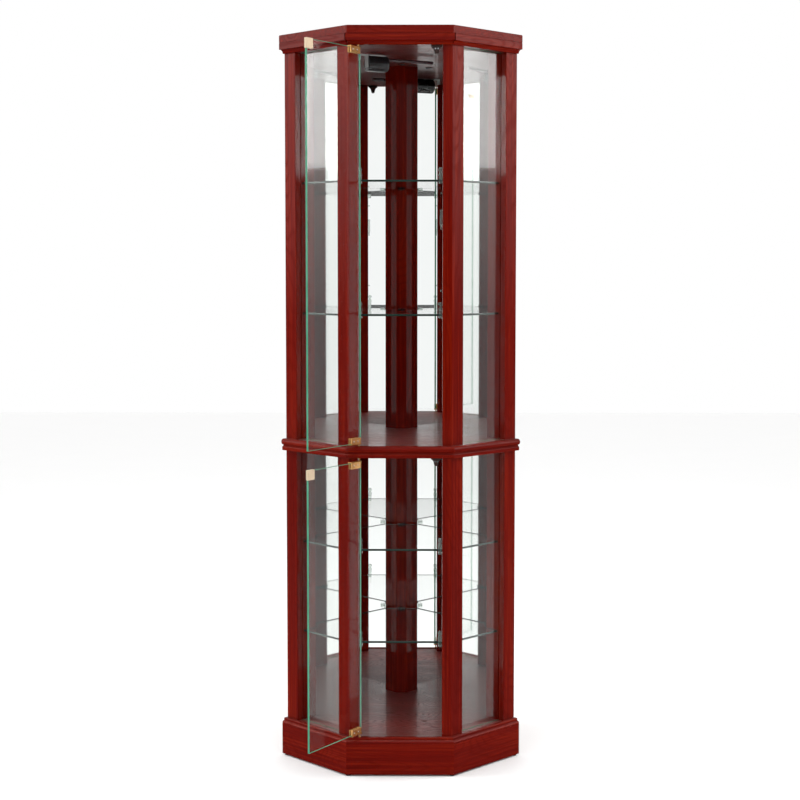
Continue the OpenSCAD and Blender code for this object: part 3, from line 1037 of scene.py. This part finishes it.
@dataclass
class Door:
    """A frameless glass door on two pivot hinges, with a strike plate at its free corner."""

    tier: str
    glazing: Glazing
    brass: Material
    pale: Material
    steel: Material
    round_off: float = 0.9 * MM
    cover: float = 14.5 * MM
    web: float = 2.5 * MM
    ease: float = 0.4 * MM
    nose_gap: float = 0.05 * MM
    pin_radius: float = 1.5 * MM
    pin_end_radius: float = 1.1 * MM
    pin_lead: float = 0.5 * MM
    screw_radius: float = 2.0 * MM
    strike_wall: float = 1.5 * MM
    strike_end: float = 0.9 * MM
    local: LocalFrame = field(init=False)

    def __post_init__(self) -> None:
        """Finds the pivot line and the angle that the door stands open."""
        joint = next(j for j in frame["joints"] if j["name"] == f"{self.tier}_door_hinge")
        x, y, _ = joint["pos_m"]
        self.local = LocalFrame((x, y, 0.0), -joint["range_deg"][1])

    def channel(self, name: str, low: Array, high: Array, wall: float, web: float,
                nose: float, up: bool) -> Object:
        """A folded channel over one edge of the glass, seen along the door as a U.

        Each of its two walls and its web is a slab with eased arrises.

        Args:
            name: the piece's name.
            low: its lowest corner in the door's frame.
            high: its highest corner.
            wall: the thickness of its two walls.
            web: the thickness of its web.
            nose: how far the corners at the pivot end are rounded.
            up: whether the web is at the top.

        Returns:
            The channel.
        """
        r = self.round_off
        outline = rounded(rectangle(low, high, 0, 2), r * 1.5, 3)
        parts = []
        for side, y0 in (("near", low[1]), ("far", high[1] - wall)):
            parts.append(slab(f"{name}_{side}", outline, wall, min(r, wall * 0.4),
                              self.local.standing(y0 + wall), 2))
        plan = rounded(rectangle(low, high, 0, 1), np.array([nose, r, r, nose]), 6)
        parts.append(slab(f"{name}_web", plan, web, min(r, web * 0.3),
                          self.local.lying(high[2] - web if up else low[2]), 2))
        return joined(name, parts)

    def hinges(self) -> Object:
        """Both hinges: a channel, a round nose about the pivot line, and the pin.

        Returns:
            One piece that stands for the CAD node.
        """
        node = f"{self.tier}_door_hinges"
        glass_low, glass_high = self.local.box(f"{self.tier}_door_glass")
        low, high = self.local.box(node)
        half = (high[1] - low[1]) / 2
        wall, nose = half - glass_high[1], half - self.nose_gap
        pivot = np.array(self.local.origin)
        parts = []
        for up, sign, edge, end in ((False, -1, glass_low[2], low[2]),
                                    (True, 1, glass_high[2], high[2])):
            z0, z1 = sorted((edge - sign * self.cover, edge + sign * self.web))
            parts.append(self.channel(f"hinge_{up}", np.array([0.0, -half, z0]),
                                      np.array([high[0], half, z1]), wall, self.web,
                                      half * 0.2, up))
            foot, head = sorted((edge, edge + sign * self.web))
            profile = np.array([[foot, nose - self.ease], [foot + self.ease, nose],
                                [head - self.ease, nose], [head, nose - self.ease]])
            parts.append(lathe(f"nose_{up}", profile, pivot, UPWARDS, 40))
            pin = np.array([[edge, self.pin_radius], [end - sign * self.pin_lead, self.pin_radius],
                            [end, self.pin_end_radius]])[::sign]
            parts.append(lathe(f"pin_{up}", pin, pivot, UPWARDS, 24))
        thing = joined(node + "_cast", parts)
        return settle(thing, f"{self.tier}_door", "brass", node, self.brass)

    def screws(self) -> Object:
        """The domed heads of the set screws, each with a shallow socket.

        Returns:
            One piece that stands for the CAD node.
        """
        node = f"{self.tier}_hinge_screws"
        parts = []
        for low, high in self.local.islands(node, 2):
            deep, z = high[1] - low[1], (low[2] + high[2]) / 2
            profile = np.stack([deep - SCREW_HEAD[:, 0], self.screw_radius * SCREW_HEAD[:, 1]],
                               axis=1)
            profile = np.concatenate([[[0, self.screw_radius]], profile])
            for x in (low[0] + self.screw_radius, high[0] - self.screw_radius):
                start, end = self.local.to_world(np.array([[x, low[1], z], [x, high[1], z]]))
                parts.append(lathe(f"screw_{len(parts)}", profile, start, end - start, 24))
        thing = joined(node + "_heads", parts)
        return settle(thing, f"{self.tier}_door", "bright_steel", node, self.steel)

    def strike(self) -> Object:
        """The folded plate over the top free corner of the glass.

        Returns:
            The plate.
        """
        node = f"{self.tier}_strike_plate"
        low, high = self.local.box(node)
        wall, thick = self.strike_wall, self.strike_end
        thing = self.channel(node + "_fold", low, high, wall, wall, self.round_off, True)
        end = rectangle(low + np.array([0, wall, 0]), high - wall, 1, 2)
        closing = slab("strike_end", end, thick, 0.2 * MM, lambda p: self.local.to_world(
            np.stack([high[0] - thick + p[:, 2], p[:, 0], p[:, 1]], axis=1)), 1)
        thing = joined(node + "_fold", [thing, closing])
        return settle(thing, f"{self.tier}_door", "brass", node, self.pale)

    def build(self) -> None:
        """Makes the door's pane, hinges, screws and strike plate."""
        self.glazing.pane(f"{self.tier}_door_glass", self.local, f"{self.tier}_door")
        self.hinges()
        self.screws()
        self.strike()
        LOG.info("%s door done", self.tier)


@dataclass
class Fittings:
    """Bushings, magnetic catches, glides and the cord grommet."""

    effects: Effects
    brass: Material
    steel: Material
    black: Material
    shoulder: float = 3.0 * MM
    waist: float = 7.0 * MM
    waist_share: float = 0.55
    tip: float = 4.0 * MM

    def catches(self) -> Object:
        """Two V-shaped housings, rounded at the point, under the case tops.

        Returns:
            One piece that stands for the CAD node.
        """
        node = "magnetic_catches"
        parts = []
        for low, high in LocalFrame().islands(node, 2):
            x, half, top = (low[0] + high[0]) / 2, (high[0] - low[0]) / 2, high[2]
            left = np.array([[-half, 0], [-half, -self.shoulder],
                             [-self.waist_share * half, -self.waist], [-self.tip, low[2] - top]])
            radii = np.array([0.3, 1.2, 3.0, 3.2]) * MM
            outline = rounded(np.concatenate([left, left[::-1] * (-1, 1)]),
                              np.concatenate([radii, radii[::-1]]), 4)
            parts.append(slab("catch", outline, high[1] - low[1], 0.8 * MM,
                              LocalFrame((x, 0.0, top)).standing(high[1]), 3))
        thing = joined(node + "_housings", parts)
        return settle(thing, "cabinet", "brown_plastic", node, BROWN_PLASTIC.build(self.effects))

    def build(self) -> None:
        """Makes the catches and dresses the small turned fittings."""
        self.catches()
        paint("catch_magnets", self.steel)
        paint("hinge_bushings", self.brass)
        for node in ("foot_glides", "cord_grommet"):
            paint(node, self.black)
        LOG.info("fittings done")


@dataclass
class Lamp:
    """The lamp under the upper case's ceiling: bracket, ribbed socket and slim tube."""

    effects: Effects
    black: Material
    turn: float = 27.0
    ribs: int = 9
    groove: float = 1.6 * MM
    lip: float = 0.25 * MM
    cap: float = 4.0 * MM
    local: LocalFrame = field(init=False)

    def __post_init__(self) -> None:
        """Turns the lamp's frame."""
        self.local = LocalFrame(angle=self.turn)

    def turned(self, name: str, profile: Array, node: str, count: int) -> Object:
        """A turned piece along the middle line of a CAD node's box.

        Args:
            name: the piece's name.
            profile: (m, 2) points from one end to the other.
            node: the CAD node.
            count: points round each circle.

        Returns:
            The piece.
        """
        low, high = self.local.box(node)
        middle = (low + high) / 2
        start, far = self.local.to_world(np.array([[low[0], *middle[1:]], [high[0], *middle[1:]]]))
        return lathe(name, profile, start, far - start, count)

    def socket(self) -> Object:
        """The socket: a cylinder with eased ends and shallow grip grooves.

        The radius is the full one less a shallow cosine dip at each groove.

        Returns:
            The socket.
        """
        low, high = self.local.box("lamp_socket")
        radius, long = (high[2] - low[2]) / 2, high[0] - low[0]
        along = np.linspace(0.03, 0.97, 120)
        dip = np.clip(np.cos(along * self.ribs * 2 * math.pi), 0.75, 1) - 0.75
        barrel = np.stack([along * long, radius - self.groove * dip], axis=1)
        end = np.array([[0, radius * 0.93], [self.lip, radius * 0.97]])
        profile = np.concatenate([end, barrel, (end * (-1, 1) + (long, 0))[::-1]])
        thing = self.turned("lamp_socket_ribbed", profile, "lamp_socket", 64)
        return settle(thing, "cabinet", "black_plastic", "lamp_socket", self.black)

    def tube(self) -> Object:
        """The slim tube with a domed end and a cap ring.

        Returns:
            The tube.
        """
        low, high = self.local.box("lamp_tube")
        radius, long = (high[2] - low[2]) / 2, high[0] - low[0]
        slim = radius * 0.92
        a = np.linspace(0, math.pi / 2 - 0.15, 8)
        dome = np.stack([long - radius + radius * np.sin(a), slim * np.cos(a)], axis=1)
        cap = [[0, radius], [self.cap, radius], [self.cap + 0.4 * MM, slim]]
        thing = self.turned("lamp_tube_glossy", np.concatenate([cap, dome]), "lamp_tube", 40)
        return settle(thing, "cabinet", "lamp_tube_dark", "lamp_tube",
                      LAMP_DARK.build(self.effects))

    def build(self) -> None:
        """Makes the lamp."""
        self.socket()
        self.tube()
        paint("lamp_bracket", GREY_PAINT.build(self.effects))
        LOG.info("lamp done")


@dataclass(frozen=True)
class Softbox:
    """One rectangular soft light: where it stands, its width and height, and its watts."""

    name: str
    place: Point
    aim: Point
    size: tuple[float, float]
    power: float


SOFTBOXES = (Softbox("left_softbox", (-2.9, 0.1, 2.4), (0, 0, 1.3), (1.2, 1.6), 48),
             Softbox("right_softbox", (2.9, 0.1, 2.4), (0, 0, 1.3), (1.2, 1.6), 38),
             Softbox("top_softbox", (0, -1.2, 3.6), (0, 0, 1.0), (2.0, 1.6), 14))


def aimed(name: str, data: bpy.types.ID, place: Point, aim: Point) -> Object:
    """Links a camera or a light that faces a point.

    Args:
        name: the object's name.
        data: the camera or light.
        place: where it stands.
        aim: the point that it faces.

    Returns:
        The object.
    """
    thing = bpy.data.objects.new(name, data)
    thing.location = place
    thing.rotation_euler = (Vector(aim) - Vector(place)).to_track_quat("-Z", "Y").to_euler()
    bpy.context.scene.collection.objects.link(thing)
    return thing


@dataclass
class Studio:
    """Pale floor, soft lights at both sides and above, and the camera."""

    camera_place: Point = (0.0312, -3.974, 1.2434)
    camera_aim: Point = (-0.0022, 0.0, 0.9767)
    lens: float = 70.8
    shift_y: float = -0.04
    sensor: float = 36.0
    floor_half: float = 9.0
    floor_low: float = 0.955
    floor_high: float = 0.975
    floor_in_gloss: float = 0.10
    side_low: float = 0.20
    side_high: Colour = (2.6, 2.5, 2.4)
    ahead_low: float = 0.008
    ahead_high: float = 0.60

    def camera(self) -> None:
        """Makes the scene's camera."""
        data = bpy.data.cameras.new("camera")
        data.lens, data.sensor_width, data.shift_y = self.lens, self.sensor, self.shift_y
        bpy.context.scene.camera = aimed("camera", data, self.camera_place, self.camera_aim)

    def floor(self) -> None:
        """Makes the floor, which isn't part of the object: pale, but dark in the lacquer's gloss."""
        h = self.floor_half
        points = np.array([[-h, -h, 0], [h, -h, 0], [h, h, 0], [-h, h, 0]], float)
        thing = make_object("floor", points, [(0, 1, 2, 3)])
        material, n, shader, place = start_material("pale_floor")
        cloud = n.add("ShaderNodeTexNoise", {"Vector": place, "Scale": 3.0, "Detail": 3.0})
        pale = n.mix(cloud.outputs[0], grey(self.floor_low), grey(self.floor_high))
        path = n.add("ShaderNodeLightPath").outputs
        clear = n.maths("MAXIMUM", path["Is Singular Ray"], path["Is Transmission Ray"])
        dull = n.maths("SUBTRACT", path["Is Glossy Ray"], clear, clamp=True)
        n.feed(shader, {"Base Color": n.mix(dull, pale, grey(self.floor_in_gloss))})
        set_sockets(shader, Roughness=0.7)
        dress(thing, material)

    def lights(self) -> None:
        """Makes the softboxes, which don't show in gloss."""
        for box in SOFTBOXES:
            data = bpy.data.lights.new(box.name, "AREA")
            data.shape, data.energy = "RECTANGLE", box.power
            data.size, data.size_y = box.size
            aimed(box.name, data, box.place, box.aim).visible_glossy = False

    def world(self) -> None:
        """Makes the surroundings, which differ by kind of ray.

        They are white to the camera, in sharp mirrors, through glass and as light. In gloss they
        are a room that is bright at the sides and darker in front and below.
        """
        world = bpy.data.worlds.new("studio")
        world.use_nodes = True
        n = NodeTree(world.node_tree)
        background = world.node_tree.nodes["Background"]
        direction = n.add("ShaderNodeTexCoord").outputs["Generated"]
        _, y, z = n.add("ShaderNodeSeparateXYZ", {0: direction}).outputs
        beside = n.maths("MULTIPLY", n.span(y, -0.40, -0.15, 0.0, 1.0),
                         n.span(y, 0.15, 0.30, 1.0, 0.0))
        high = n.span(z, -0.04, 0.16, 0.0, 1.0)
        rise = n.span(z, 0.0, 0.22, 0.0, 1.0)
        sides = n.mix(high, grey(self.side_low), rgba(self.side_high))
        ahead = n.mix(rise, grey(self.ahead_low), grey(self.ahead_high))
        room = n.mix(beside, ahead, sides)
        path = n.add("ShaderNodeLightPath").outputs
        gloss = n.mix(path["Is Glossy Ray"], grey(1.0), room)
        seen = n.maths("MAXIMUM", path["Is Camera Ray"], path["Is Transmission Ray"])
        seen = n.maths("MAXIMUM", seen, path["Is Singular Ray"])
        n.feed(background, {"Color": n.mix(seen, gloss, grey(1.0))})
        bpy.context.scene.world = world

    def build(self) -> None:
        """Makes the whole studio."""
        self.camera()
        self.floor()
        self.world()
        self.lights()
        bpy.context.scene.view_settings.view_transform = "Standard"
        LOG.info("studio done")


def main() -> None:
    """Builds every sub-assembly in order."""
    logging.basicConfig(level=logging.INFO, format="%(name)s: %(message)s")
    Studio().build()
    effects = Effects()
    glass, edge = GLASS.build(effects), DOOR_EDGE.build(effects)
    dark_edge = DARK_EDGE.build(effects)
    brass, steel = BRASS.build(effects), STEEL.build(effects)
    pale, black = PALE_BRASS.build(effects), BLACK_PLASTIC.build(effects)
    Joinery(effects).dress_all()
    glazing = Glazing(effects, glass, edge)
    glazing.build()
    thin = THIN_GLASS.build(effects)
    Shelving(effects, thin, dark_edge).build()
    doors = Glazing(effects, thin, edge)
    for tier in ("lower", "upper"):
        Door(tier, doors, brass, pale, steel).build()
    Fittings(effects, brass, steel, black).build()
    Lamp(effects, black).build()


if __name__ == "__main__":
    main()
